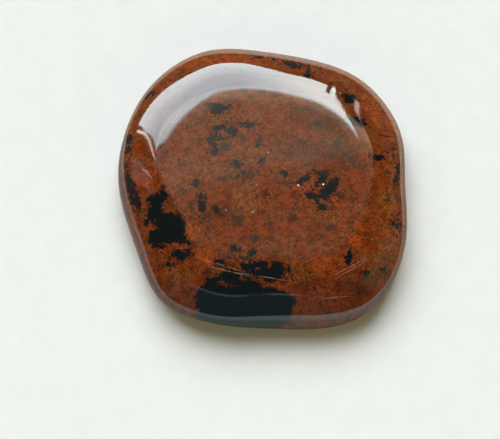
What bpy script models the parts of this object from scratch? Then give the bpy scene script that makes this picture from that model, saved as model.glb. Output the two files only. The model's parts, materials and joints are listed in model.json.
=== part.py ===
"""A flat tumbled stone of mahogany obsidian, lying on its flat underside.

The stone is one solid with a rounded five-sided outline. Its top is a nearly flat, slightly domed
plateau. From the plateau's border the surface bends down over a brow and a slope to a tightly
rounded edge, and then turns in under the stone to a flat base.

The shape is a coarse cage under a Subdivision Surface modifier. Each design point below lies on the
finished surface itself: the cage is relaxed until the smooth surface passes through all of them.

Lengths in the constants are millimetres and angles are degrees. The model is in metres, +Z up, with
its origin on the base, under the middle of the stone's bounding box.
"""

import math
from collections import namedtuple

import bmesh
import bpy

MM = 0.001

NAME = "stone"
COLLECTION = "obsidian_stone"

# Top of the stone
THICKNESS = 8.0
DOME_PER_SQUARE_MM = 0.0026     # drop of the plateau for each square millimetre of radius
INNER_PLATEAU = 0.6             # the plateau's inner ring, as a share of its reach
BROW_SHARE = 0.62               # share of the way from the plateau's border to the edge that is brow

# Angle between the surface and the horizontal where one stretch of the profile meets the next
PLATEAU_TILT = 4.0
BROW_TILT = 22.0
SLOPE_TILT = 42.0
EDGE_TILT = 66.0

# Underside
LOWER_EDGE_SHARE = 0.66         # radius of the lower edge, as a share of the widest edge's height
LOWER_SLOPE_TILT = 31.0
LOWER_BROW_TILT = 12.0
LOWER_SLOPE_DROP = 0.66         # share of the underside's rise that the lower slope takes
INNER_BASE = 0.75               # the base's inner ring, as a share of its reach

# The outline at sixteen places round the stone, counted from +X towards +Y.
# reach: centre to the widest edge; border: centre to the plateau's border;
# edge: radius of the rounded edge, seen in section.
Station = namedtuple("Station", "angle reach border edge")
STATIONS = (
    Station(0, 17.2, 12.0, 2.5),
    Station(22, 18.2, 12.0, 2.5),
    Station(45, 18.1, 11.6, 2.0),
    Station(66, 17.0, 11.3, 2.0),
    Station(90, 16.8, 11.2, 2.0),
    Station(112, 18.1, 11.9, 1.5),
    Station(134, 18.4, 12.1, 2.0),
    Station(156, 17.8, 12.1, 1.5),
    Station(180, 17.3, 11.5, 3.0),
    Station(208, 17.1, 11.4, 3.5),
    Station(230, 18.6, 13.0, 3.0),
    Station(252, 17.7, 12.4, 3.0),
    Station(272, 17.2, 11.6, 4.5),
    Station(296, 18.9, 13.4, 4.5),
    Station(316, 19.7, 14.0, 3.0),
    Station(338, 18.4, 13.2, 2.5),
)

# Cage and surface
SIDE_SEGMENTS = len(STATIONS) // 4      # cage faces along each side of the plateau's grid
SUBDIVISIONS = 2
RELAX_STEPS = 60
RELAX_FACTOR = 1.5                      # overshoot of each step, which settles the cage faster
TINY = 1e-6                             # differences in the cage's cube smaller than this don't count

# Material: red-brown glass
BASE_COLOR = (0.27, 0.075, 0.032, 1.0)
ROUGHNESS = 0.05
GLASS_IOR = 1.5


def clear_scene():
    """Removes every object of the scene."""
    for scene_object in list(bpy.data.objects):
        bpy.data.objects.remove(scene_object, do_unlink=True)


def plateau_height(radius):
    """Height of the domed plateau at a distance from its middle."""
    return THICKNESS - DOME_PER_SQUARE_MM * radius * radius


def fall(width, upper_tilt, lower_tilt):
    """Drop of an evenly bending stretch over its width."""
    return width * math.tan(math.radians((upper_tilt + lower_tilt) / 2))


def inset(edge_radius, tilt):
    """How far a round edge lies inside its widest place where it has this tilt."""
    return edge_radius * (1 - math.sin(math.radians(tilt)))


def rise(edge_radius, tilt):
    """How far a round edge lies above or below its widest place where it has this tilt."""
    return edge_radius * math.cos(math.radians(tilt))


def profile(station):
    """The (radius, height) points of one section, from the plateau's inner ring to the base's."""
    border = station.border
    slope_end = station.reach - inset(station.edge, SLOPE_TILT)
    slope_top = border + (slope_end - border) * BROW_SHARE
    border_height = plateau_height(border)
    brow_height = border_height - fall(slope_top - border, PLATEAU_TILT, BROW_TILT)
    slope_height = brow_height - fall(slope_end - slope_top, BROW_TILT, SLOPE_TILT)
    widest_height = slope_height - rise(station.edge, SLOPE_TILT)

    lower_edge = LOWER_EDGE_SHARE * widest_height
    lower_slope_start = station.reach - inset(lower_edge, SLOPE_TILT)
    lower_slope_height = widest_height - rise(lower_edge, SLOPE_TILT)
    lower_brow_height = lower_slope_height * (1 - LOWER_SLOPE_DROP)
    lower_brow_start = lower_slope_start - (
        (lower_slope_height - lower_brow_height) / math.tan(math.radians(LOWER_SLOPE_TILT))
    )
    base_reach = lower_brow_start - lower_brow_height / math.tan(math.radians(LOWER_BROW_TILT))

    inner_border = border * INNER_PLATEAU
    return (
        (inner_border, plateau_height(inner_border)),
        (border, border_height),
        (slope_top, brow_height),
        (slope_end, slope_height),
        (station.reach - inset(station.edge, EDGE_TILT), widest_height + rise(station.edge, EDGE_TILT)),
        (station.reach, widest_height),
        (station.reach - inset(lower_edge, EDGE_TILT), widest_height - rise(lower_edge, EDGE_TILT)),
        (lower_slope_start, lower_slope_height),
        (lower_brow_start, lower_brow_height),
        (base_reach, 0.0),
        (base_reach * INNER_BASE, 0.0),
    )


def place_round_square(x, y):
    """Share of the way out from the centre (0 to 1) of a point in the cage's square, and its place
    among the stations, counted along the square's outline from the middle of its +X side."""
    out = max(abs(x), abs(y))
    if out < TINY:
        return 0.0, 0.0
    x, y = x / out, y / out
    if x > 1 - TINY:
        eighths = y
    elif y > 1 - TINY:
        eighths = 2 - x
    elif x < -1 + TINY:
        eighths = 4 - y
    else:
        eighths = 6 + x
    return out, (eighths * len(STATIONS) / 8) % len(STATIONS)


def between_stations(values, place, turn=0.0):
    """Linear mix of two neighbouring stations' values; turn is what a full round adds."""
    first = int(place + TINY)
    share = place - first
    second = values[(first + 1) % len(values)]
    if first + 1 == len(values):
        second += turn
    return values[first] * (1 - share) + second * share


def design_point(corner, profiles):
    """Where the finished surface has the point that belongs to one corner of the cage's cube."""
    rings = len(profiles[0])
    ring = round((1 - corner.z) / 2 * (rings - 1))
    out, place = place_round_square(corner.x, corner.y)
    angle = math.radians(between_stations([s.angle for s in STATIONS], place, 360.0))
    radius = between_stations([p[ring][0] for p in profiles], place)
    height = between_stations([p[ring][1] for p in profiles], place)
    if out < 1 - TINY:
        radius *= out
        height = plateau_height(radius) if ring == 0 else 0.0
    return radius * math.cos(angle), radius * math.sin(angle), height


def surface_point(vert):
    """Where the subdivided surface ends up at a corner of the cage."""
    edges = len(vert.link_edges)
    total = vert.co * edges * edges
    for edge in vert.link_edges:
        total += edge.other_vert(vert).co * 4
    for face in vert.link_faces:
        corners = list(face.verts)
        total += corners[(corners.index(vert) + 2) % 4].co
    return total / (edges * (edges + 5))


def build_cage():
    """A cube cut into a grid and drawn out into the cage of the stone."""
    cage = bmesh.new()
    bmesh.ops.create_cube(cage, size=2.0)
    level = [e for e in cage.edges if abs(e.verts[0].co.z - e.verts[1].co.z) < TINY]
    bmesh.ops.subdivide_edges(cage, edges=level, cuts=SIDE_SEGMENTS - 1, use_grid_fill=True)
    profiles = [profile(station) for station in STATIONS]
    upright = [e for e in cage.edges if abs(e.verts[0].co.z - e.verts[1].co.z) > TINY]
    bmesh.ops.subdivide_edges(cage, edges=upright, cuts=len(profiles[0]) - 2, use_grid_fill=True)

    targets = {vert: design_point(vert.co, profiles) for vert in cage.verts}
    for vert, target in targets.items():
        vert.co = target
    for _ in range(RELAX_STEPS):
        found = {vert: surface_point(vert) for vert in cage.verts}
        for vert, target in targets.items():
            vert.co.x += (target[0] - found[vert].x) * RELAX_FACTOR
            vert.co.y += (target[1] - found[vert].y) * RELAX_FACTOR
            if target[2] > 0:
                vert.co.z += (target[2] - found[vert].z) * RELAX_FACTOR
    bmesh.ops.scale(cage, vec=(MM, MM, MM), verts=cage.verts)
    bmesh.ops.recalc_face_normals(cage, faces=cage.faces)
    return cage


def glass_material():
    """Plain red-brown obsidian."""
    material = bpy.data.materials.new("mahogany_obsidian")
    material.use_nodes = True
    shader = material.node_tree.nodes["Principled BSDF"]
    shader.inputs["Base Color"].default_value = BASE_COLOR
    shader.inputs["Roughness"].default_value = ROUGHNESS
    shader.inputs["Metallic"].default_value = 0.0
    shader.inputs["IOR"].default_value = GLASS_IOR
    return material


def centre_on_base(stone):
    """Moves the cage so that the finished stone's bounding box is centred over the origin."""
    bpy.context.view_layer.update()
    smooth = stone.evaluated_get(bpy.context.evaluated_depsgraph_get())
    points = [vert.co.copy() for vert in smooth.to_mesh().vertices]
    smooth.to_mesh_clear()
    across = [point.x for point in points]
    along = [point.y for point in points]
    for vert in stone.data.vertices:
        vert.co.x -= (min(across) + max(across)) / 2
        vert.co.y -= (min(along) + max(along)) / 2


def build_stone(collection):
    """The stone's object, with its modifier and material."""
    cage = build_cage()
    mesh = bpy.data.meshes.new(NAME)
    cage.to_mesh(mesh)
    cage.free()
    mesh.shade_smooth()
    mesh.materials.append(glass_material())
    stone = bpy.data.objects.new(NAME, mesh)
    collection.objects.link(stone)
    smooth = stone.modifiers.new("smooth", "SUBSURF")
    smooth.levels = SUBDIVISIONS
    smooth.render_levels = SUBDIVISIONS
    smooth.use_limit_surface = True
    centre_on_base(stone)
    return stone


def main():
    clear_scene()
    collection = bpy.data.collections.new(COLLECTION)
    bpy.context.scene.collection.children.link(collection)
    build_stone(collection)


main()
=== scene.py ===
# Mahogany obsidian: a flat, tumbled and polished stone, 35 mm across, lying on a pale floor.

import json
import math

import bmesh
import bpy
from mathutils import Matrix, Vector

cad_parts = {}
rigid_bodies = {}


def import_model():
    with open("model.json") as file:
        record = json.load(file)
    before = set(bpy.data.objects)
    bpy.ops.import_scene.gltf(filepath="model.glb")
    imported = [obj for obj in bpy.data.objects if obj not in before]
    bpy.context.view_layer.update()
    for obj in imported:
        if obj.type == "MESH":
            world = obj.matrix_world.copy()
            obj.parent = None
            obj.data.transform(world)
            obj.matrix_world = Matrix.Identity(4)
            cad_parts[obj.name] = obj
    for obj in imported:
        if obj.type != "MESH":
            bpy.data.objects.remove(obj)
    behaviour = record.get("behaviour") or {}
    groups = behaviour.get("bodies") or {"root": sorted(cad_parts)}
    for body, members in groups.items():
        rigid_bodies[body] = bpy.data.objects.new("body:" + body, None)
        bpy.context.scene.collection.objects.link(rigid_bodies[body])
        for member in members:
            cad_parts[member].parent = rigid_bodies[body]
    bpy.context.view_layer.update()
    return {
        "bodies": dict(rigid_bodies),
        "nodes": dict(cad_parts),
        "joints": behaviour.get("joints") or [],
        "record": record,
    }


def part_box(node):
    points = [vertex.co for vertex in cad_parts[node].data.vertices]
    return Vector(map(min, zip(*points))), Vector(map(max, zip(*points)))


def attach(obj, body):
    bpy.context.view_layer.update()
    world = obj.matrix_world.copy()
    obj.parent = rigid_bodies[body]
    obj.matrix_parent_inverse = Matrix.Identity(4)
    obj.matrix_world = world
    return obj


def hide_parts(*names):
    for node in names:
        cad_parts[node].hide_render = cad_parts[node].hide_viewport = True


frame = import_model()
print("frame loaded:", sorted(frame["nodes"]))

millimetre = 0.001


def addNode(tree, kind, inputs=None, **settings):
    # inputs are plain values or sockets of other nodes
    node = tree.nodes.new("ShaderNode" + kind)
    for name, value in settings.items():
        setattr(node, name, value)
    for name, value in (inputs or {}).items():
        if isinstance(value, bpy.types.NodeSocket):
            tree.links.new(value, node.inputs[name])
        else:
            node.inputs[name].default_value = value
    return node


def calc(tree, operation, *values):
    return addNode(tree, "Math", dict(enumerate(values)), operation=operation).outputs[0]


def calcVector(tree, operation, *values):
    return addNode(tree, "VectorMath", dict(enumerate(values)), operation=operation).outputs[0]


def softStep(tree, value, start, end, low=0.0, high=1.0):
    # low before start, high past end, eased between them
    names = ("Value", "From Min", "From Max", "To Min", "To Max")
    inputs = dict(zip(names, (value, start, end, low, high)))
    return addNode(tree, "MapRange", inputs, interpolation_type="SMOOTHSTEP").outputs[0]


def band(tree, value, low, high, soft):
    # 1 between low and high, 0 outside
    rising = softStep(tree, value, low - soft / 2, low + soft / 2)
    falling = softStep(tree, value, high - soft / 2, high + soft / 2, 1.0, 0.0)
    return calc(tree, "MULTIPLY", rising, falling)


def mixColor(tree, share, first, second, mode="MIX"):
    inputs = {0: share, 6: first, 7: second}
    return addNode(tree, "Mix", inputs, data_type="RGBA", blend_type=mode).outputs[2]


def grain(tree, place, scale, detail, rough):
    # soft random value round 0.5; scale counts per millimetre
    inputs = {"Vector": place, "Scale": scale, "Detail": detail, "Roughness": rough}
    return addNode(tree, "TexNoise", inputs).outputs["Fac"]


def placeInMm(tree):
    # where on the piece a point lies
    return calcVector(tree, "MULTIPLY", addNode(tree, "TexCoord").outputs["Object"], (1000.0,) * 3)


def scaled(tree, color, strength):
    inputs = {0: color, "Scale": strength}
    return addNode(tree, "VectorMath", inputs, operation="SCALE").outputs[0]


cameraView = {
    "place": (-12.58, -55.18, 213.64),     # mm
    "turn": (13.72, -2.78, -0.93),         # degrees
    "lens": 129.95,                        # mm
    "sensor": 36.0,                        # mm
    "picture": (500, 439),                 # pixels
}


def addCamera():
    lens = bpy.data.cameras.new("camera")
    lens.lens = cameraView["lens"]
    lens.sensor_width = cameraView["sensor"]
    lens.clip_start = 0.01
    lens.clip_end = 10.0
    camera = bpy.data.objects.new("camera", lens)
    bpy.context.scene.collection.objects.link(camera)
    camera.rotation_euler = [math.radians(angle) for angle in cameraView["turn"]]
    camera.location = Vector(cameraView["place"]) * millimetre
    bpy.context.scene.camera = camera


addCamera()
print("camera placed")


# Directions are in degrees, as seen from the stone: azimuth from +X towards +Y, elevation from the floor.
# The stone mirrors a window and a warm ceiling; a softer light of its own lights the stone and the floor.
studio = {
    "windowSill": (17.5, 24.5, 37.0),      # at the left, in the middle and at the right
    "sillTurns": ((126.0, 104.0), (86.5, 77.0)),
    "windowHigh": (65.4, 62.3, 61.2),
    "highTurns": ((106.0, 94.0), (68.0, 52.0)),
    "windowRight": 62.5,
    "rightLean": (-0.5, -1.7),             # above each bend
    "rightBends": (46.0, 58.5),
    "windowLeft": 142.0,
    "leftLean": -0.30,                     # above the bend
    "leftBend": 36.0,
    "cornerLeft": 143.0,                   # the cut corner at the top left
    "cornerLean": -2.9,
    "cornerBend": 58.2,
    "sideSoft": 0.8,                       # how far the window's edges are blurred, each way
    "highSoft": 1.1,
    "frameAzimuth": (64.3, 66.2),          # a dark frame near the window's right edge
    "frameHigh": 49.5,
    "frameSoft": (0.7, 1.5),               # across its sides, and each way at its top
    "cloudStretch": (0.035, 0.30),         # clouds for each degree along and up
    "cloudSpan": (0.92, 1.08),             # the darkest and the brightest, as shares
    "leftShade": 0.86,                     # the sky is duller towards the left
    "leftTurn": (108.0, 132.0),
    "skyHeights": (64.0, 27.0),            # the sky gets brighter from the first to the second
    "topBright": 8.5,
    "sillBright": 14.0,
    "sunAzimuths": (90.0, 71.0),           # and brightest to the right of these, below these heights
    "sunHeights": (65.0, 57.0),
    "rightBright": 15.6,
    "topColor": (0.67, 1.0, 1.15),
    "sillColor": (0.78, 1.0, 1.04),
    "rightColor": (0.84, 1.0, 0.98),
    # The glow on the ceiling lies between three lines, placed by x over z and y over z
    "ceilingColor": (1.42, 1.30, 1.0),
    "glowLeft": (0.092, -0.60),            # where the line crosses x = 0, and its slope
    "glowRight": (-0.008, 0.74),
    "glowNear": (0.118, 0.0),
    "glowEnds": (-0.40, 0.56),
    "glowEdge": 0.022,                     # how far its edges are blurred, each way
    "glowBright": 0.21,
    "glowRim": (0.11, 0.13),               # how wide its brighter rim is, and how much brighter
    "glowStep": (0.262, 0.22),             # it is brighter beyond this line
    "stepTurn": (-0.06, 0.05),
    "stepBright": 0.52,
    "stepBand": (0.01, 0.06, 0.05),        # a brighter band just beyond, and its blur
    "bandBright": 0.16,
    "glowFar": (0.38, 0.49),               # brightest past these, up to where the glow ends
    "farBright": 1.3,
    "glowPast": (0.52, 0.60),
    "glowCloudScale": 14.0,
    "glowCloudSpan": (0.8, 1.2),
    "wallColor": (0.05, 0.06, 0.06),
    "lowWallColor": (0.45, 0.32, 0.22),    # on the far side, below these heights
    "lowWallHeights": (34.0, 20.0),
    "nearColor": (0.12, 0.20, 0.23),
    "nearAzimuths": (-150.0, -62.0, 24.0), # the third number of such a row is how far its ends are blurred
    "nearHeights": (66.0, 58.0),
    "shelfHeights": (55.5, 59.5, 1.4),
    "shelfAzimuths": (-124.0, -82.0, 6.0),
    "shelfBright": 0.9,
    "shelfColor": (0.62, 0.80, 0.76),
    "softWindow": (7.25, 7.42, 7.60),
    "softHeights": (40.0, 78.0, 38.0),
    "softAzimuths": (62.0, 148.0, 8.0),
    "softNear": (1.12, 0.96, 0.54),
    "backdrop": (0.86, 0.90, 0.89),
    "stripSides": (0.3, 0.7),              # a strip fades between these shares of its width
    "stripEnds": 4.0,                      # how far its ends are blurred
}

# Upright strips of light beside the window: elevations, azimuths at both, width, brightness, colour
lightStrips = [
    ("white post", (33, 48), (63.5, 61.7), 1.2, 13.0, (0.95, 1.0, 0.95)),
    ("right pane", (29, 47), (52.3, 50.9), 2.5, 6.5, (1.0, 0.98, 0.90)),
    ("right pane's top", (47, 57), (51.2, 44.0), 1.1, 2.6, (1.0, 0.92, 0.85)),
    ("left frame", (20, 62), (145.3, 139.6), 1.6, 12.5, (0.90, 1.0, 0.88)),
    ("far left frame", (43, 60), (160.6, 155.5), 2.0, 3.0, (1.0, 0.90, 0.86)),
    ("far left frame's foot", (20, 44), (161.5, 158.6), 2.0, 0.7, (1.0, 0.86, 0.80)),
    ("far left pane", (25, 55), (165.0, 162.0), 13.0, 0.65, (0.75, 1.0, 1.0)),
    ("right wall", (4, 52), (-14.0, -12.0), 38.0, 0.38, (0.60, 1.0, 0.60)),
]


def alongLine(tree, value, start, end, low, high):
    # goes from low to high as the value goes from start to end, and on beyond both
    names = ("Value", "From Min", "From Max", "To Min", "To Max")
    inputs = dict(zip(names, (value, start, end, low, high)))
    return addNode(tree, "MapRange", inputs, clamp=False).outputs[0]


def product(tree, *values):
    total = values[0]
    for value in values[1:]:
        total = calc(tree, "MULTIPLY", total, value)
    return total


def bentLine(tree, value, start, lean, bend):
    # stays at start up to the bend, and leans beyond it
    past = calc(tree, "MAXIMUM", calc(tree, "SUBTRACT", value, bend), 0.0)
    return calc(tree, "MULTIPLY_ADD", past, lean, start)


def turningLine(tree, value, levels, turns):
    # eases from the first level to the second and to the third, at the two turns
    first = softStep(tree, value, *turns[0], levels[0], levels[1])
    return calc(tree, "ADD", first, softStep(tree, value, *turns[1], 0.0, levels[2] - levels[1]))


def addWindow(tree, azimuth, elevation):
    # the sky in the window
    left = bentLine(tree, elevation, studio["windowLeft"], studio["leftLean"], studio["leftBend"])
    overCorner = calc(tree, "SUBTRACT", elevation, studio["cornerBend"])
    corner = calc(tree, "MULTIPLY_ADD", overCorner, studio["cornerLean"], studio["cornerLeft"])
    left = calc(tree, "MINIMUM", left, corner)
    right = studio["windowRight"]
    for lean, bend in zip(studio["rightLean"], studio["rightBends"]):
        right = bentLine(tree, elevation, right, lean, bend)
    sill = turningLine(tree, azimuth, studio["windowSill"], studio["sillTurns"])
    high = turningLine(tree, azimuth, studio["windowHigh"], studio["highTurns"])
    sideSoft, highSoft = studio["sideSoft"], studio["highSoft"]
    frameHigh = studio["frameHigh"]
    acrossSoft, topSoft = studio["frameSoft"]
    frame = product(tree, band(tree, azimuth, *studio["frameAzimuth"], acrossSoft),
                    softStep(tree, elevation, frameHigh + topSoft, frameHigh - topSoft))
    mask = product(
        tree,
        softStep(tree, calc(tree, "SUBTRACT", azimuth, right), -sideSoft, sideSoft),
        softStep(tree, calc(tree, "SUBTRACT", left, azimuth), -sideSoft, sideSoft),
        softStep(tree, calc(tree, "SUBTRACT", elevation, sill), -sideSoft, sideSoft),
        softStep(tree, calc(tree, "SUBTRACT", high, elevation), -highSoft, highSoft),
        softStep(tree, frame, 0.0, 1.0, 1.0, 0.0),
    )

    # long thin clouds
    alongScale, upScale = studio["cloudStretch"]
    drawnOut = {0: calc(tree, "MULTIPLY", azimuth, alongScale), 1: calc(tree, "MULTIPLY", elevation, upScale)}
    cloudPlace = addNode(tree, "CombineXYZ", drawnOut).outputs[0]
    clouds = softStep(tree, grain(tree, cloudPlace, 1.0, 3.0, 0.55), 0.3, 0.7, *studio["cloudSpan"])
    down = softStep(tree, elevation, *studio["skyHeights"])
    leftward = softStep(tree, azimuth, *studio["leftTurn"], 1.0, studio["leftShade"])
    sunward = product(tree, softStep(tree, azimuth, *studio["sunAzimuths"]),
                      softStep(tree, elevation, *studio["sunHeights"]))
    bright = alongLine(tree, down, 0.0, 1.0, studio["topBright"], studio["sillBright"])
    bright = alongLine(tree, sunward, 0.0, 1.0, bright, studio["rightBright"])
    color = mixColor(tree, down, (*studio["topColor"], 1), (*studio["sillColor"], 1))
    color = mixColor(tree, sunward, color, (*studio["rightColor"], 1))
    return scaled(tree, color, product(tree, mask, bright, clouds, leftward))


def addCeiling(tree, axes):
    # a warm glow on the ceiling over the window
    up = calc(tree, "MAXIMUM", axes[2], 0.02)
    across = calc(tree, "DIVIDE", axes[0], up)
    along = calc(tree, "DIVIDE", axes[1], up)
    inside = 10.0
    for name in ("glowLeft", "glowRight", "glowNear"):
        crossing, slope = studio[name]
        line = calc(tree, "MULTIPLY_ADD", across, slope, crossing)
        inside = calc(tree, "SMOOTH_MIN", inside, calc(tree, "SUBTRACT", along, line), 0.04)
    edge = calc(tree, "MULTIPLY_ADD", across, studio["glowStep"][1], studio["glowStep"][0])
    beyond = calc(tree, "SUBTRACT", along, edge)
    blur = studio["glowEdge"]
    rimWide, rimBright = studio["glowRim"]
    level = softStep(tree, inside, -blur, blur, 0.0, studio["glowBright"])
    level = calc(tree, "MULTIPLY_ADD", softStep(tree, inside, rimWide, 0.0), rimBright, level)
    level = calc(tree, "ADD", level, softStep(tree, beyond, *studio["stepTurn"], 0.0, studio["stepBright"]))
    step = band(tree, beyond, *studio["stepBand"])
    level = calc(tree, "MULTIPLY_ADD", step, studio["bandBright"], level)
    level = calc(tree, "ADD", level, softStep(tree, along, *studio["glowFar"], 0.0, studio["farBright"]))
    cloudPlace = addNode(tree, "CombineXYZ", {0: across, 1: along}).outputs[0]
    cloudy = grain(tree, cloudPlace, studio["glowCloudScale"], 3.0, 0.6)
    clouds = softStep(tree, cloudy, 0.3, 0.7, *studio["glowCloudSpan"])
    sides = band(tree, across, *studio["glowEnds"], 0.05)
    past = softStep(tree, along, *studio["glowPast"], 1.0, 0.0)
    shape = softStep(tree, inside, -blur, blur)
    return scaled(tree, studio["ceilingColor"], product(tree, level, clouds, shape, sides, past))


def addStudio():
    world = bpy.data.worlds.new("studio")
    bpy.context.scene.world = world
    world.use_nodes = True
    tree = world.node_tree
    tree.nodes.clear()
    direction = addNode(tree, "TexCoord").outputs["Generated"]
    axes = addNode(tree, "SeparateXYZ", {0: direction}).outputs
    elevation = calc(tree, "DEGREES", calc(tree, "ARCSINE", axes[2]))
    azimuth = calc(tree, "DEGREES", calc(tree, "ARCTAN2", axes[1], axes[0]))

    mirrored = calcVector(tree, "ADD", addWindow(tree, azimuth, elevation), addCeiling(tree, axes))
    for name, heights, azimuths, width, bright, color in lightStrips:
        middle = alongLine(tree, elevation, *heights, *azimuths)
        off = calc(tree, "ABSOLUTE", calc(tree, "SUBTRACT", azimuth, middle))
        sides = [width * share for share in studio["stripSides"]]
        across = softStep(tree, off, *sides, 1.0, 0.0)
        strip = product(tree, across, band(tree, elevation, *heights, studio["stripEnds"]), bright)
        mirrored = calcVector(tree, "ADD", mirrored, scaled(tree, color, strip))

    # the dark room, with a faint bluish light on the near side and a pale shelf low over there
    low = product(tree, softStep(tree, axes[1], -0.25, 0.25),
                  softStep(tree, elevation, *studio["lowWallHeights"]))
    near = product(tree, softStep(tree, elevation, *studio["nearHeights"]),
                   band(tree, azimuth, *studio["nearAzimuths"]))
    room = mixColor(tree, low, (*studio["wallColor"], 1), (*studio["lowWallColor"], 1))
    room = mixColor(tree, near, room, (*studio["nearColor"], 1))
    mirrored = calcVector(tree, "ADD", mirrored, room)
    shelf = product(tree, band(tree, elevation, *studio["shelfHeights"]),
                    band(tree, azimuth, *studio["shelfAzimuths"]), studio["shelfBright"])
    mirrored = calcVector(tree, "ADD", mirrored, scaled(tree, studio["shelfColor"], shelf))

    # the soft light on everything: from over the window, and a little warm light from the near side
    softMask = product(tree, band(tree, elevation, *studio["softHeights"]),
                       band(tree, azimuth, *studio["softAzimuths"]))
    nearMask = product(tree, softStep(tree, axes[1], 1.0, -1.0), calc(tree, "SUBTRACT", 1.0, axes[2]))
    soft = calcVector(tree, "ADD", scaled(tree, studio["softWindow"], softMask),
                      scaled(tree, studio["softNear"], nearMask))

    rays = addNode(tree, "LightPath").outputs
    seen = mixColor(tree, rays["Is Glossy Ray"], soft, mirrored)
    seen = mixColor(tree, rays["Is Camera Ray"], seen, (*studio["backdrop"], 1))
    background = addNode(tree, "Background", {"Color": seen, "Strength": 1.0})
    addNode(tree, "OutputWorld", {"Surface": background.outputs[0]})


addStudio()
bpy.context.scene.view_settings.view_transform = "Standard"
print("studio light built")


floorSheet = {
    "size": 1.2,                           # m
    "color": (0.80, 0.835, 0.825),
    "shade": 0.97,                         # of the darker fibres, as a share of the colour
    "roughness": 0.75,
    # the rest paints the sheet as the stone mirrors it: a painted glow that lifts it, its tints, and a
    # painted shade close by on the near side
    "farSide": (-4.0, 22.0),               # mm, between these the near side goes over to the far one
    "farLift": 1.8,
    "away": (21.0, 38.0),                  # mm from the stone's middle
    "nearLift": 0.56,
    "tintSides": (-12.0, 12.0),            # mm, between these the tint goes from the near one to the far one
    "tintLean": 0.5,                       # and this much towards the right
    "nearTint": (0.45, 0.95, 1.05),
    "farTint": (0.88, 0.78, 0.60),
    "nearCast": (0.84, 1.02, 1.02),        # how the stone mirrors the sheet's own colour
    "farCast": (1.0, 0.92, 0.78),
    "nearShade": 0.45,
}


def addFloor():
    sheet = bmesh.new()
    bmesh.ops.create_grid(sheet, x_segments=1, y_segments=1, size=floorSheet["size"] / 2)
    mesh = bpy.data.meshes.new("floor")
    sheet.to_mesh(mesh)
    sheet.free()
    floor = bpy.data.objects.new("floor", mesh)
    bpy.context.scene.collection.objects.link(floor)
    material = bpy.data.materials.new("palePaper")
    material.use_nodes = True
    tree = material.node_tree
    shader = tree.nodes["Principled BSDF"]
    shader.inputs["Roughness"].default_value = floorSheet["roughness"]
    place = placeInMm(tree)
    fibres = grain(tree, place, 0.35, 5.0, 0.6)
    dark = tuple(c * floorSheet["shade"] for c in floorSheet["color"])
    color = mixColor(tree, softStep(tree, fibres, 0.3, 0.7), (*dark, 1), (*floorSheet["color"], 1))

    # painted glow and painted shade: the floor emits light that only the stone's mirrored rays see, more from
    # farther away and on the far side, and is painted darker in them close by on the near side
    mirrored = addNode(tree, "LightPath").outputs["Is Glossy Ray"]
    across, along, _ = addNode(tree, "SeparateXYZ", {0: place}).outputs
    farSide = softStep(tree, along, *floorSheet["farSide"])
    leaning = calc(tree, "MULTIPLY_ADD", across, floorSheet["tintLean"], along)
    tintSide = softStep(tree, leaning, *floorSheet["tintSides"])
    distance = addNode(tree, "VectorMath", {0: place}, operation="LENGTH").outputs["Value"]
    away = softStep(tree, distance, *floorSheet["away"])
    lift = alongLine(tree, farSide, 0.0, 1.0, floorSheet["nearLift"], floorSheet["farLift"])
    tree.links.new(product(tree, mirrored, away, lift), shader.inputs["Emission Strength"])
    tint = mixColor(tree, tintSide, (*floorSheet["nearTint"], 1), (*floorSheet["farTint"], 1))
    tree.links.new(tint, shader.inputs["Emission Color"])
    cast = mixColor(tree, tintSide, (*floorSheet["nearCast"], 1), (*floorSheet["farCast"], 1))
    base = mixColor(tree, mirrored, color, mixColor(tree, 1.0, color, cast, "MULTIPLY"))
    close = product(tree, calc(tree, "SUBTRACT", 1.0, farSide), calc(tree, "SUBTRACT", 1.0, away))
    shade = product(tree, close, mirrored, floorSheet["nearShade"])
    tree.links.new(mixColor(tree, shade, base, (0.0, 0.0, 0.0, 1)), shader.inputs["Base Color"])
    mesh.materials.append(material)


addFloor()
print("floor laid")


# Lengths in mm, angles in degrees. A station holds, for one angle from +X towards +Y: the reach from the
# centre to the widest edge, the reach of the plateau's border, and the radius of the round edge.
stoneShape = {
    "thickness": 8.0,
    "dome": 0.0026,                        # drop of the plateau for each square mm of radius
    "innerPlateau": 0.6,
    "browShare": 0.62,                     # of the way from the plateau's border to the edge
    "plateauTilt": 4.0,
    "browTilt": 22.0,
    "slopeTilt": 42.0,
    "edgeTilt": 66.0,
    "lowerEdgeShare": 0.66,
    "lowerSlopeTilt": 31.0,
    "lowerBrowTilt": 12.0,
    "lowerSlopeDrop": 0.66,
    "innerBase": 0.75,
    "relaxSteps": 60,
    "relaxFactor": 1.5,
    "tiny": 1e-6,                          # smaller differences in the cage's cube don't count
    "frameSubdivisions": 2,                # as the CAD stone has
    "subdivisions": 4,
    "stations": (
        (0, 17.2, 12.0, 2.5), (22, 18.2, 12.0, 2.5), (45, 18.1, 11.6, 2.0), (66, 17.0, 11.3, 2.0),
        (90, 16.8, 11.2, 2.0), (112, 18.1, 11.9, 1.5), (134, 18.4, 12.1, 2.0), (156, 17.8, 12.1, 1.5),
        (180, 17.3, 11.5, 3.0), (208, 17.1, 11.4, 3.5), (230, 18.6, 13.0, 3.0), (252, 17.7, 12.4, 3.0),
        (272, 17.2, 11.6, 4.5), (296, 18.9, 13.4, 4.5), (316, 19.7, 14.0, 3.0), (338, 18.4, 13.2, 2.5),
    ),
}


def plateauHeight(radius):
    return stoneShape["thickness"] - stoneShape["dome"] * radius * radius


def fall(width, upperTilt, lowerTilt):
    return width * math.tan(math.radians((upperTilt + lowerTilt) / 2))


def inset(edgeRadius, tilt):
    return edgeRadius * (1 - math.sin(math.radians(tilt)))


def rise(edgeRadius, tilt):
    return edgeRadius * math.cos(math.radians(tilt))


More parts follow.
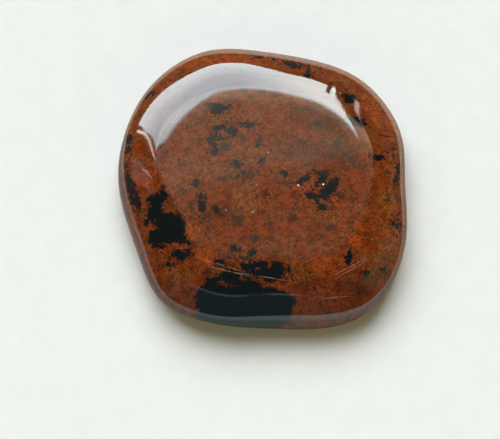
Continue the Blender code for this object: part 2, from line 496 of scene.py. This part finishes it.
def profileAt(station):
    # the (radius, height) points of one section, from the plateau's inner ring to the base's
    _, reach, border, edge = station
    slopeTilt, edgeTilt = stoneShape["slopeTilt"], stoneShape["edgeTilt"]
    slopeEnd = reach - inset(edge, slopeTilt)
    slopeTop = border + (slopeEnd - border) * stoneShape["browShare"]
    borderHeight = plateauHeight(border)
    browHeight = borderHeight - fall(slopeTop - border, stoneShape["plateauTilt"], stoneShape["browTilt"])
    slopeHeight = browHeight - fall(slopeEnd - slopeTop, stoneShape["browTilt"], slopeTilt)
    widestHeight = slopeHeight - rise(edge, slopeTilt)

    lowerEdge = stoneShape["lowerEdgeShare"] * widestHeight
    lowerStart = reach - inset(lowerEdge, slopeTilt)
    lowerHeight = widestHeight - rise(lowerEdge, slopeTilt)
    lowerBrowHeight = lowerHeight * (1 - stoneShape["lowerSlopeDrop"])
    lowerRun = (lowerHeight - lowerBrowHeight) / math.tan(math.radians(stoneShape["lowerSlopeTilt"]))
    lowerBrow = lowerStart - lowerRun
    baseReach = lowerBrow - lowerBrowHeight / math.tan(math.radians(stoneShape["lowerBrowTilt"]))

    innerBorder = border * stoneShape["innerPlateau"]
    return (
        (innerBorder, plateauHeight(innerBorder)),
        (border, borderHeight),
        (slopeTop, browHeight),
        (slopeEnd, slopeHeight),
        (reach - inset(edge, edgeTilt), widestHeight + rise(edge, edgeTilt)),
        (reach, widestHeight),
        (reach - inset(lowerEdge, edgeTilt), widestHeight - rise(lowerEdge, edgeTilt)),
        (lowerStart, lowerHeight),
        (lowerBrow, lowerBrowHeight),
        (baseReach, 0.0),
        (baseReach * stoneShape["innerBase"], 0.0),
    )


def roundSquarePlace(x, y):
    # share of the way out, and the place among the stations, counted along the square's outline
    tiny = stoneShape["tiny"]
    out = max(abs(x), abs(y))
    if out < tiny:
        return 0.0, 0.0
    x, y = x / out, y / out
    if x > 1 - tiny:
        eighths = y
    elif y > 1 - tiny:
        eighths = 2 - x
    elif x < -1 + tiny:
        eighths = 4 - y
    else:
        eighths = 6 + x
    count = len(stoneShape["stations"])
    return out, (eighths * count / 8) % count


def betweenStations(values, place, turn=0.0):
    first = int(place + stoneShape["tiny"])
    share = place - first
    second = values[(first + 1) % len(values)]
    if first + 1 == len(values):
        second += turn
    return values[first] * (1 - share) + second * share


def designPoint(corner, profiles):
    ring = round((1 - corner.z) / 2 * (len(profiles[0]) - 1))
    out, place = roundSquarePlace(corner.x, corner.y)
    angle = math.radians(betweenStations([s[0] for s in stoneShape["stations"]], place, 360.0))
    radius = betweenStations([p[ring][0] for p in profiles], place)
    height = betweenStations([p[ring][1] for p in profiles], place)
    if out < 1 - stoneShape["tiny"]:
        radius *= out
        height = plateauHeight(radius) if ring == 0 else 0.0
    return Vector((radius * math.cos(angle), radius * math.sin(angle), height))


def limitPoint(vert):
    # where the subdivided surface ends up at a corner of the cage
    edges = len(vert.link_edges)
    total = vert.co * edges * edges
    for edge in vert.link_edges:
        total += edge.other_vert(vert).co * 4
    for face in vert.link_faces:
        corners = list(face.verts)
        total += corners[(corners.index(vert) + 2) % 4].co
    return total / (edges * (edges + 5))


def heightOf(edge):
    return abs(edge.verts[0].co.z - edge.verts[1].co.z)


def buildCage():
    cage = bmesh.new()
    bmesh.ops.create_cube(cage, size=2.0)
    profiles = [profileAt(station) for station in stoneShape["stations"]]
    level = [e for e in cage.edges if heightOf(e) < stoneShape["tiny"]]
    sideCuts = len(stoneShape["stations"]) // 4 - 1
    bmesh.ops.subdivide_edges(cage, edges=level, cuts=sideCuts, use_grid_fill=True)
    upright = [e for e in cage.edges if heightOf(e) > stoneShape["tiny"]]
    bmesh.ops.subdivide_edges(cage, edges=upright, cuts=len(profiles[0]) - 2, use_grid_fill=True)

    targets = {vert: designPoint(vert.co, profiles) for vert in cage.verts}
    for vert, target in targets.items():
        vert.co = target
    for _ in range(stoneShape["relaxSteps"]):
        found = {vert: limitPoint(vert) for vert in cage.verts}
        for vert, target in targets.items():
            move = (target - found[vert]) * stoneShape["relaxFactor"]
            if target.z == 0:
                move.z = 0.0               # the base stays exactly flat
            vert.co += move
    bmesh.ops.scale(cage, vec=(millimetre,) * 3, verts=cage.verts)
    bmesh.ops.recalc_face_normals(cage, faces=cage.faces)
    return cage


def smoothMesh(piece):
    # the piece's mesh with its modifiers worked in
    bpy.context.view_layer.update()
    graph = bpy.context.evaluated_depsgraph_get()
    return bpy.data.meshes.new_from_object(piece.evaluated_get(graph), depsgraph=graph)


def buildStone():
    cage = buildCage()
    mesh = bpy.data.meshes.new("obsidianStone")
    cage.to_mesh(mesh)
    cage.free()
    mesh.shade_smooth()
    stone = bpy.data.objects.new("obsidianStone", mesh)
    bpy.context.scene.collection.objects.link(stone)
    smooth = stone.modifiers.new("smooth", "SUBSURF")
    smooth.use_limit_surface = True

    # as far as the CAD stone is subdivided, its box has to be the CAD stone's box
    smooth.levels = smooth.render_levels = stoneShape["frameSubdivisions"]
    coarse = smoothMesh(stone)
    low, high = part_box("stone")
    for axis in (0, 1):
        places = [vert.co[axis] for vert in coarse.vertices]
        shift = (low[axis] + high[axis]) / 2 - (min(places) + max(places)) / 2
        for vert in mesh.vertices:
            vert.co[axis] += shift
    bpy.data.meshes.remove(coarse)

    smooth.levels = smooth.render_levels = stoneShape["subdivisions"]
    fine = smoothMesh(stone)
    stone.modifiers.clear()
    stone.data = fine
    bpy.data.meshes.remove(mesh)
    fine.name = "obsidianStone"
    return stone


stone = buildStone()
print("stone shaped:", len(stone.data.polygons), "faces")


def onStone(u, v):
    # the place on the stone, in mm, that the camera sees at a pixel of its picture
    camera = bpy.context.scene.camera
    width, height = cameraView["picture"]
    focus = camera.data.lens / camera.data.sensor_width * width
    ray = Vector((u - width / 2, height / 2 - v, -focus))
    ray = camera.rotation_euler.to_matrix() @ ray.normalized()
    hit, place, _, _ = stone.ray_cast(camera.location, ray)
    return place / millimetre if hit else None


def halfAxis(marking, length, turn):
    # from the marking's middle to its end, on the stone; the other end stands in for one off the stone
    u, v = marking[0], marking[1]
    across, up = length * math.cos(math.radians(turn)), length * math.sin(math.radians(turn))
    middle, end = onStone(u, v), onStone(u + across, v - up)
    return end - middle if end else middle - onStone(u - across, v + up)


def onTop(marking):
    # the marking as an oval on the stone: middle, half length, half width, depth and turn
    u, v, half, narrow, turn, *deep = marking
    along = halfAxis(marking, half, turn)
    beside = halfAxis(marking, narrow, turn + 90).xy
    length = along.xy.length
    width = abs(along.xy.normalized().cross(beside))
    depth = deep[0] if deep else max(0.8, 1.6 * width)
    return onStone(u, v), (length, width, depth), math.atan2(along.y, along.x)


# One marking: u, v, half length and half width in pixels of the camera's picture, and a turn in degrees.
# It lies on the stone where the camera sees it. A sixth number is its depth in mm.
blackPatches = {
    "near edge, down to the rim": [
        (212, 299, 16.5, 15, 0, 5.0), (245, 302, 46, 17, 0, 5.0), (278, 304, 15, 13, 0, 5.0),
        (243, 317, 46.5, 17, 0, 5.0), (236, 277.5, 16, 7.5, -12, 5.0), (214, 281, 8.5, 4, 12, 5.0),
        (252, 285, 10.5, 5, -18, 5.0),
    ],
    "near side": [
        (264, 270, 20, 8.5, -10), (275, 270, 9, 8.5, 0), (247, 266, 4.5, 3, 0), (266, 279, 10, 3, -8),
        (289, 270, 2.3, 2.2, 0),
    ],
    "left": [
        (157, 200, 8, 6, -15), (156, 209, 5.5, 4.5, 0), (167, 222, 17, 9, -8), (168, 233, 15, 9, 0),
        (154, 239, 8, 7, -50), (178, 227, 12.5, 7, 90), (153, 216, 7, 5, 30),
        (147, 221.5, 3.5, 2.5, 90), (181, 239, 5, 5, 0), (187, 242.5, 3, 2, 0), (162, 247, 2.5, 1.5, 0),
        (164, 194, 5, 2.5, 105),
    ],
    "below left": [
        (180, 254, 5, 3, 0), (183, 258.5, 2.5, 2, 90), (188, 253, 3, 2.5, 90), (219, 262.5, 5, 3, 10),
        (167.5, 264.5, 3.4, 1.1, 5), (235.7, 248.8, 5, 2.4, -14), (252, 253.3, 3.6, 2.8, 20),
        (202, 207, 4.5, 2.5, 100), (216, 209.5, 3.5, 2.2, 110),
    ],
    "left rim": [
        (128.5, 140, 5, 2.5, 90), (129, 150, 3.5, 3, 90), (126.5, 166, 3, 1.5, 90),
        (129, 180.5, 8, 3, -62), (134.5, 197, 12.5, 5, -68),
    ],
    "upper left": [
        (218, 108.5, 9, 4.8, -5), (210.5, 104.5, 4, 2.2, -15), (226.5, 106.5, 3.5, 2, 10),
        (219.5, 128, 7.4, 3, 10), (232, 131, 5, 4.4, -40), (247, 124, 6, 2.4, 3),
        (211.5, 138, 3, 2.2, 0), (213.5, 145.5, 5, 1.9, -60), (216, 151, 4, 3, -50),
        (195.5, 183.5, 3.5, 2.3, 0), (261.5, 160, 4, 2, 35), (237, 163.5, 3.5, 3, 0),
    ],
    "row of dots": [
        (153.5, 92.3, 2.2, 0.7, 42), (149.3, 95.2, 2.4, 0.8, 42), (145.7, 97.6, 2.2, 0.8, 50),
    ],
    "right of the middle": [
        (284, 173, 3.6, 2.6, 0), (303, 179.7, 6.5, 2.7, 35), (318.5, 173.5, 4.8, 2.3, -40),
        (323, 178, 5.2, 2.6, 80), (327, 173.5, 2, 1.5, 0), (330, 187.5, 7.0, 4.6, 45),
        (335.5, 182, 4.6, 2.8, 70), (325.5, 192, 4.6, 3.7, 30), (317.5, 196, 10.4, 2.6, -4),
        (311, 195, 5, 3.2, -20), (317, 202, 2.7, 1.6, -45), (322, 208, 3.2, 2.7, 0),
    ],
    "right side": [
        (350, 98.5, 6.2, 3.4, -15), (355, 121.5, 7.4, 4.6, -10), (362.5, 122, 2.8, 2.3, 90),
        (378.5, 157, 3.6, 2.4, -5), (370, 155, 1.8, 1.4, 0), (398.3, 172.5, 6.2, 2.3, 88),
        (395.8, 181, 3.2, 1.8, 90), (349, 257.5, 8, 3, 80), (365.5, 273, 3.8, 2.8, -10),
        (396.5, 224.5, 3.9, 2.4, -25), (383, 269.5, 2.6, 2.2, 0),
    ],
    "far edge": [
        (285.5, 62.4, 3, 1.3, -20), (293, 65, 5, 2.2, -20), (299.5, 65.5, 2.4, 2, 90),
        (308.5, 67, 2.8, 0.8, 90), (309, 72.3, 2.2, 1.5, 90), (308, 75.5, 1.8, 1.4, 90),
        (274, 58.6, 2.6, 0.8, -5), (259.5, 56.8, 3.4, 0.8, -5),
    ],
}
smokySpots = [
    (244.2, 178.6, 5, 1.7, 45), (249.4, 176.8, 5, 1.5, 32), (214, 276, 5, 3.5, 0), (225, 147, 6, 4, 0),
    (222.5, 179, 5, 2.7, 10), (242.5, 90, 3.2, 2.4, -10), (265, 92, 1.6, 2.4, 0),
    (238, 105.5, 2.4, 2, 0), (160.5, 146, 3.6, 2.8, 30), (170, 136.5, 3.4, 1.6, 60),
    (179, 160, 3, 2.2, -60), (181, 165, 2.8, 2, -60), (242.7, 137.8, 3.6, 2.3, 0),
    (258, 140, 5.5, 3.4, 75), (192, 206.5, 4.5, 2.4, 90), (235.7, 248.8, 6.6, 3.8, -14),
    (252, 253.3, 5, 4.1, 20), (219.3, 262.7, 6.4, 3.8, 10), (255, 237.4, 4.2, 3.3, 20),
    (235.7, 218, 3.2, 2.5, 0), (182, 190, 4, 1.7, -60), (169.3, 287, 3.5, 2.3, 20),
    (270, 224.5, 4, 2.7, 0), (329.3, 227.3, 5.5, 3.4, 0), (337, 143, 4.8, 4.4, 0),
    (318.5, 123.3, 5, 3.6, 0), (346, 153.5, 3.4, 2.8, 0), (352, 160.5, 3.2, 2.2, 90),
    (384.3, 270.5, 3.4, 3, 0), (393, 232.3, 2.4, 1.7, 90), (396.5, 244.4, 2.6, 1.5, 0),
    (352.9, 230, 2.5, 2, 0), (404, 150, 5, 2.4, 85),
]
rustSpots = [
    (286.5, 184, 2.4, 2.1, 0), (309, 171.2, 2, 1.1, 0), (337.3, 195, 3.1, 2.3, -30),
    (342.7, 198.2, 2.3, 1.6, 90), (333, 207.4, 4.8, 1.4, -55), (388, 172, 2.1, 2, 0),
    (393.6, 149.4, 4, 1.5, 90), (388.6, 198, 3.2, 1.8, 90), (400, 199.4, 3.6, 1.5, 90),
    (292.4, 218, 2.9, 2.2, 0), (388.6, 256.6, 2.1, 1.6, 0), (313.6, 287.3, 4.2, 2.3, -65),
    (205, 271, 4, 2.8, 0), (194.3, 253.8, 2.5, 2.1, 0), (183.3, 292.3, 3.6, 1.4, 90),
    (165.7, 152, 2, 1.5, 90), (139.7, 115, 2.6, 2, 45), (347, 90, 2.3, 1.8, 30),
    (332, 83, 2.4, 1.8, 30), (362, 290, 4, 2.2, 30), (162, 247, 2.2, 1.8, 0),
    (290.5, 260, 2.6, 0.9, -55), (296, 240, 2.1, 1.9, 60), (386, 135.5, 4.2, 1.8, 0),
    (265.5, 193.5, 3.6, 2.6, -20), (226, 137.5, 3, 2.4, 0), (282.5, 281.5, 2.6, 1.2, 0),
]
blackNets = [
    (216, 139, 11, 7, 30), (209, 152, 5, 4, 50), (224.5, 119.5, 8, 3, 0), (319.5, 182, 12, 6, 45),
    (256.5, 142.5, 5.5, 4, 60), (200, 199, 5, 8, 0), (242, 173, 9, 3.6, 40), (176, 254.5, 12, 5, -3),
    (243.5, 259, 18, 4, -6), (286.5, 277.5, 8.5, 3.5, -18), (397.5, 228, 10, 4, 85),
    (391, 150, 6, 2.5, 75),
]
clearIslands = [
    (152.6, 227, 4.4, 2.7, 0), (155, 220.6, 1.8, 1.4, 0), (269.2, 265.2, 3.4, 2.6, 100),
    (258.5, 268.7, 2.4, 1.4, 0), (242.3, 279.2, 3.6, 2.1, 0), (253.8, 279.4, 3.2, 2.6, 0),
    (273, 285.3, 17, 2.1, -15), (262, 281.3, 8, 1.6, -35), (221, 281.5, 3, 1.2, -10),
    (219, 134.6, 2.6, 1.6, 0), (134.5, 195.8, 1.4, 1.2, 0), (223, 134.5, 2, 1.4, 0),
]
emberZones = [
    (311.5, 186, 13, 7.5, 10), (337, 205, 9, 7, 0), (283, 167, 3.2, 2.6, 0), (250.4, 141, 2.8, 2.6, 0),
    (300, 200, 8, 4, 0), (192, 232, 9, 14, -60), (352, 235, 12, 16, 0), (205, 258, 16, 8, -10),
    (278, 284, 16, 6, -10), (150, 180, 8, 16, -70), (228, 60, 60, 6, -2), (368, 110, 10, 16, 0),
    (330, 265, 22, 10, 10),
]
ochreZones = [
    (248, 198, 14, 17, 0), (323, 217, 16, 6, 0), (218, 135.5, 5, 3, 0), (300, 270, 16, 8, 0),
    (388, 205, 6, 13, 0), (175, 275, 10, 7, 0), (222, 118, 10, 4, 0),
]
# darker zones: partly murky glass, partly painted shade low on the near right, where that slope gets less
# light
darkGlassAndShadeZones = [
    (365, 285, 13, 9, 20), (230, 215, 16, 12, 0), (340, 155, 16, 10, -30), (320, 120, 30, 14, -30),
    (295, 290, 10, 6, 0), (205, 225, 10, 10, 0), (310, 150, 30, 12, -10), (398, 200, 3, 20, 0),
    (345, 283, 12, 6, 20),
]
# painted glints: tiny specks that catch the light, painted near white
brightGlintDots = [(323.2, 184.2, 1.15, 1.15, 0), (298.3, 185.2, 1.05, 1.05, 0)]
faintGlintDots = [
    (226, 210, 0.9, 0.9, 0), (253, 212, 0.9, 0.9, 0), (268.3, 152.4, 0.95, 0.95, 0),
    (340, 93, 0.8, 0.8, 0), (163, 175, 0.6, 0.6, 0), (257, 185, 0.6, 0.6, 0), (300, 130, 0.6, 0.6, 0),
]
scratches = [
    (228, 271.2, 17.5, 0.45, -14), (262, 276.6, 24, 0.4, -9), (225, 266, 14, 0.35, -18),
    (205, 260, 7.6, 0.5, -22), (350, 266.8, 14.5, 0.45, 27), (352, 269, 12, 0.35, 29),
    (337, 297.3, 10, 0.5, 4), (176, 116, 7, 0.3, 60),
]


def patchGroup(name, patches, merge):
    # a node group that gives how far a place is outside the nearest patch, in mm
    tree = bpy.data.node_groups.new(name, "ShaderNodeTree")
    tree.interface.new_socket("Place", in_out="INPUT", socket_type="NodeSocketVector")
    tree.interface.new_socket("Distance", in_out="OUTPUT", socket_type="NodeSocketFloat")
    place = tree.nodes.new("NodeGroupInput").outputs["Place"]
    nearest = 100.0
    for marking in patches:
        centre, sizes, turn = onTop(marking)
        turning = {"Vector": place, "Center": centre, "Angle": -turn}
        turned = addNode(tree, "VectorRotate", turning, rotation_type="Z_AXIS").outputs[0]
        oval = calcVector(tree, "MULTIPLY_ADD", turned, [1 / s for s in sizes],
                          [-c / s for c, s in zip(centre, sizes)])
        out = addNode(tree, "VectorMath", {0: oval}, operation="LENGTH").outputs["Value"]
        outside = calc(tree, "MULTIPLY_ADD", out, sizes[1], -sizes[1])
        nearest = calc(tree, "SMOOTH_MIN", nearest, outside, merge)
    end = tree.nodes.new("NodeGroupOutput")
    tree.links.new(nearest, end.inputs["Distance"])
    return tree


def distanceTo(tree, place, name, patches, merge=0.1):
    node = tree.nodes.new("ShaderNodeGroup")
    node.node_tree = patchGroup(name, patches, merge)
    tree.links.new(place, node.inputs["Place"])
    return node.outputs["Distance"]


def shiftedPlace(tree, place, scale, amount, detail):
    # the place moved by up to half the amount, in mm, each way
    inputs = {"Vector": place, "Scale": scale, "Detail": detail, "Roughness": 0.6}
    random = addNode(tree, "TexNoise", inputs).outputs["Color"]
    moved = calcVector(tree, "MULTIPLY_ADD", random, (amount,) * 3, place)
    return calcVector(tree, "SUBTRACT", moved, (amount / 2,) * 3)


glass = {
    "brick": (0.164, 0.0265, 0.0025, 1),
    "olive": (0.140, 0.0430, 0.0115, 1),
    "ember": (0.230, 0.0400, 0.0040, 1),
    "ochre": (0.180, 0.0640, 0.0130, 1),
    # the next colour is for murky glass and also for the painted shade low on the near right
    "murk": (0.052, 0.0190, 0.0080, 1),
    "speck": (0.020, 0.0085, 0.0060, 1),
    "rust": (0.034, 0.0100, 0.0075, 1),
    "smoke": (0.024, 0.0185, 0.0155, 1),
    "black": (0.0040, 0.0062, 0.0068, 1),
    "scratch": (0.36, 0.20, 0.12, 1),
    "spark": (0.85, 0.82, 0.76, 1),
    "even": (0.150, 0.0330, 0.0060, 1),
    "calm": 0.65,                          # how even the glass is on the brow round the far side
    "calmHeight": (6.95, 7.66, 0.16),      # mm, and how far its ends are blurred
    "calmSide": (2.5, 5.0),                # mm
    "toneSpan": (0.50, 1.42),              # the darkest and the lightest grains, as shares
    "nearShade": 0.80,                     # painted shade: the colour is darker towards the near side, whose slopes get less light
    "nearPlaces": (-6.0, -14.0),           # mm
    "paintedRightLight": 1.25,                     # painted light: and lighter towards the right, where more light falls
    "rightPlaces": (11.0, 16.0),           # mm
    "patchGrow": 0.06,                     # mm, how far the black reaches past its patches
    "patchMerge": 0.25,                    # mm, over which neighbouring black patches run together
    "netScale": 2.4,                       # per mm
    "netReach": (4.5, -1.80),              # mm added to a net's distance: the noise's share, and the rest
    "shreds": 1.3,                         # mm, how far the edges of the patches are frayed
    # each shift moves places at random: its scale per mm, by how many mm, and its detail
    "raggedShift": (1.2, 1.6, 5.0),
    "zoneShift": (0.5, 2.6, 4.0),
    "scratchShift": (0.8, 0.12, 2.0),
    "frayScale": 3.2,                      # per mm
    "grainScale": 4.6,                     # per mm
    "grainTurn": 40.0,                     # degrees, the way that the grain runs
    "grainStretch": 0.55,
    "backHeight": (1.4, 2.6),              # mm, below which the black patches are random
    "backReach": (-9.0, 5.4),              # mm, in the same way
    "backScale": 0.30,                     # per mm
    "hueTurn": (0.43, 0.62),               # from brick to olive
    "hueOffset": (61.0, 23.0, 7.0),        # mm, so that the hue has a noise of its own
    "toneTurn": (0.38, 0.62),              # from the darkest to the lightest grains
    "livelyTurn": (0.38, 0.58),
    "zoneEdge": (0.55, -0.5),              # mm outside and inside its oval that a zone fades over
    "zoneMerge": 0.4,                      # mm
    "speckScale": 2.7,                     # per mm
    "speckTurn": (0.50, 0.40),
    "speckCrowding": 0.22,                 # how much fewer specks there are in their gaps
    "patchCrowding": (1.1, 0.08),          # mm from a patch, and how many more specks there
    "rustEdge": (0.22, -0.24),             # mm
    "smokeEdge": (0.26, -0.30),            # mm
    "scratchStrength": 0.55,
    "faintStrength": 0.45,
    "waveScale": 0.6,                      # per mm
    "waveHeight": 0.005,                   # mm
    "roughness": (0.03, 0.075),            # where it is best and least polished
    "index": 1.5,
}


def mottle(tree, place):
    # the red-brown glass, without its markings; with painted shade towards the near side and low on the near
    # right, and painted light towards the right
    turned = addNode(tree, "VectorRotate", {"Vector": place, "Angle": -math.radians(glass["grainTurn"])},
                     rotation_type="Z_AXIS").outputs[0]
    drawn = calcVector(tree, "MULTIPLY", turned, (glass["grainStretch"], 1.0, 1.0))
    fine = grain(tree, drawn, glass["grainScale"], 3.0, 0.65)
    cloudy = grain(tree, place, 1.0, 5.0, 0.62)
    tone = calc(tree, "MULTIPLY_ADD", fine, 0.55, calc(tree, "MULTIPLY", cloudy, 0.45))

    elsewhere = calcVector(tree, "ADD", place, glass["hueOffset"])
    hue = calc(tree, "MULTIPLY_ADD", grain(tree, elsewhere, 3.6, 3.0, 0.65), 0.5,
               calc(tree, "MULTIPLY", grain(tree, elsewhere, 0.7, 3.0, 0.6), 0.5))
    color = mixColor(tree, softStep(tree, hue, *glass["hueTurn"]), glass["brick"], glass["olive"])

    zones = shiftedPlace(tree, place, *glass["zoneShift"])
    lively = softStep(tree, tone, *glass["livelyTurn"], 0.35, 1.0)
    # the darker zones paint murky glass and, low on the near right, painted shade
    for key, name, patches, strength in (
        ("murk", "darkGlassAndShadeZones", darkGlassAndShadeZones, 0.50),
        ("ochre", "ochreZones", ochreZones, 0.60),
        ("ember", "emberZones", emberZones, 0.80),
    ):
        toZone = distanceTo(tree, zones, name, patches, glass["zoneMerge"])
        inside = softStep(tree, toZone, *glass["zoneEdge"], 0.0, strength)
        if key != "murk":
            inside = calc(tree, "MULTIPLY", inside, lively)
        color = mixColor(tree, inside, color, glass[key])

    # the brow round the far side is calmer
    axes = addNode(tree, "SeparateXYZ", {0: place}).outputs
    calm = calc(tree, "MULTIPLY", band(tree, axes[2], *glass["calmHeight"]),
                softStep(tree, axes[1], *glass["calmSide"], 0.0, glass["calm"]))
    color = mixColor(tree, calm, color, glass["even"])
    level = softStep(tree, tone, *glass["toneTurn"], *glass["toneSpan"])
    level = calc(tree, "MULTIPLY_ADD", calc(tree, "SUBTRACT", 0.95, level), calm, level)
    # painted shade darkens the near side and painted light brightens the right side, for how the light falls
    # there
    nearward = softStep(tree, axes[1], *glass["nearPlaces"], 1.0, glass["nearShade"])
    rightward = softStep(tree, axes[0], *glass["rightPlaces"], 1.0, glass["paintedRightLight"])
    level = product(tree, level, nearward, rightward)
    return scaled(tree, color, level)


def glassMaterial():
    material = bpy.data.materials.new("mahoganyObsidian")
    material.use_nodes = True
    tree = material.node_tree
    shader = tree.nodes["Principled BSDF"]
    shader.inputs["IOR"].default_value = glass["index"]
    place = placeInMm(tree)

    # places shifted a little at random, so that the patches get ragged edges
    ragged = shiftedPlace(tree, place, *glass["raggedShift"])
    shreds = glass["shreds"]
    fray = calc(tree, "MULTIPLY_ADD", grain(tree, place, glass["frayScale"], 4.0, 0.7), shreds, -0.5 * shreds)
    allBlack = [patch for patches in blackPatches.values() for patch in patches]
    toBlack = calc(tree, "ADD", distanceTo(tree, ragged, "blackPatches", allBlack, glass["patchMerge"]), fray)
    toSmoke = calc(tree, "ADD", distanceTo(tree, ragged, "smokySpots", smokySpots), fray)
    net = calc(tree, "MULTIPLY_ADD", grain(tree, place, glass["netScale"], 3.0, 0.65), *glass["netReach"])
    toNet = calc(tree, "ADD", distanceTo(tree, ragged, "blackNets", blackNets), net)
    toBlack = calc(tree, "MINIMUM", toBlack, toNet)
    toRust = calc(tree, "ADD", distanceTo(tree, ragged, "rustSpots", rustSpots), fray)
    toIsland = calc(tree, "ADD", distanceTo(tree, ragged, "clearIslands", clearIslands), fray)

    # black veins and blots of their own on the underside
    height = addNode(tree, "SeparateXYZ", {0: place}).outputs[2]
    blots = grain(tree, place, glass["backScale"], 4.0, 0.6)
    under = calc(tree, "MULTIPLY_ADD", blots, *glass["backReach"])
    under = calc(tree, "ADD", calc(tree, "ADD", under, fray),
                 softStep(tree, height, *glass["backHeight"], 0.0, 8.0))
    toBlack = calc(tree, "MINIMUM", toBlack, under)

    # dark specks, crowded round the patches
    color = mottle(tree, place)
    specks = grain(tree, place, glass["speckScale"], 2.5, 0.6)
    crowding = calc(tree, "MULTIPLY", grain(tree, place, 0.35, 2.0, 0.5), glass["speckCrowding"])
    crowdReach, crowdMore = glass["patchCrowding"]
    nearPatch = softStep(tree, toBlack, crowdReach, 0.0, 0.0, crowdMore)
    speckLevel = calc(tree, "SUBTRACT", calc(tree, "ADD", specks, crowding), nearPatch)
    color = mixColor(tree, softStep(tree, speckLevel, *glass["speckTurn"], 0.0, 0.9), color, glass["speck"])

    color = mixColor(tree, softStep(tree, toRust, *glass["rustEdge"], 0.0, 0.92), color, glass["rust"])
    color = mixColor(tree, softStep(tree, toSmoke, *glass["smokeEdge"], 0.0, 0.90), color, glass["smoke"])
    edge = calc(tree, "MAXIMUM", toBlack, calc(tree, "MULTIPLY", toIsland, -1.0))
    grow = glass["patchGrow"]
    color = mixColor(tree, softStep(tree, edge, grow + 0.12, grow - 0.04, 0.0, 0.75), color, glass["speck"])
    color = mixColor(tree, softStep(tree, edge, grow + 0.06, grow - 0.10), color, glass["black"])

    # thin scratches, and painted glints: tiny dots painted near white where little specks catch the light
    shaky = shiftedPlace(tree, place, *glass["scratchShift"])
    toScratch = distanceTo(tree, shaky, "scratches", scratches, 0.01)
    broken = softStep(tree, grain(tree, place, 1.4, 3.0, 0.6), 0.32, 0.50)
    scratch = calc(tree, "MULTIPLY", softStep(tree, toScratch, 0.05, -0.03), broken)
    scratch = calc(tree, "MULTIPLY", scratch, glass["scratchStrength"])
    color = mixColor(tree, scratch, color, glass["scratch"])
    strengths = (("brightGlintDots", brightGlintDots, 1.0), ("faintGlintDots", faintGlintDots, glass["faintStrength"]))
    for name, dots, strength in strengths:
        dot = softStep(tree, distanceTo(tree, place, name, dots, 0.01), 0.01, -0.07, 0.0, strength)
        color = mixColor(tree, dot, color, glass["spark"])

    tree.links.new(color, shader.inputs["Base Color"])
    polish = softStep(tree, grain(tree, place, 0.5, 4.0, 0.6), 0.35, 0.70, *glass["roughness"])
    tree.links.new(polish, shader.inputs["Roughness"])

    # faint waves, left by the tumbling
    waves = calc(tree, "MULTIPLY", grain(tree, place, glass["waveScale"], 4.0, 0.55), glass["waveHeight"])
    bump = addNode(tree, "Bump", {"Height": waves, "Distance": millimetre, "Strength": 1.0}).outputs[0]
    tree.links.new(bump, shader.inputs["Normal"])
    return material


stone.data.materials.clear()
stone.data.materials.append(glassMaterial())
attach(stone, "root")
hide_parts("stone")
print("stone polished")
